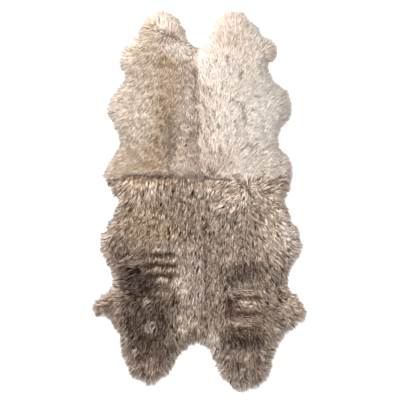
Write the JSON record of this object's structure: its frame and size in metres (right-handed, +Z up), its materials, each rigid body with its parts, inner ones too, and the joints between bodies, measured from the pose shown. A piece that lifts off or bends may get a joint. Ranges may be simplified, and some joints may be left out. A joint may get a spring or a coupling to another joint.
{
  "type": "fur rug",
  "caption": "Fur rug of whole sheepskins sewn edge to edge, with neck lobes at both ends, side flaps, deep lumpy wool and a flat leather underside.",
  "frame": {"origin": "on the floor, under the middle of the rug's bounding box in plan", "axes": "+Y along the rug's length, towards the end with the pale skins; +X to the right of that, seen from above; +Z up, out of the wool"},
  "size_m": [1.0236, 1.8172, 0.0576],
  "materials": {
    "wool_upper_left": "long matt wool, warm cream with a tan centre",
    "wool_upper_right": "long matt wool, pale cream",
    "wool_lower_left": "long matt wool, grey taupe",
    "wool_lower_right": "long matt wool, warm taupe"
  },
  "bodies": {
    "root": {"skin_upper_left": "wool_upper_left", "skin_upper_right": "wool_upper_right", "skin_lower_left": "wool_lower_left", "skin_lower_right": "wool_lower_right"}
  },
  "joints": []
}
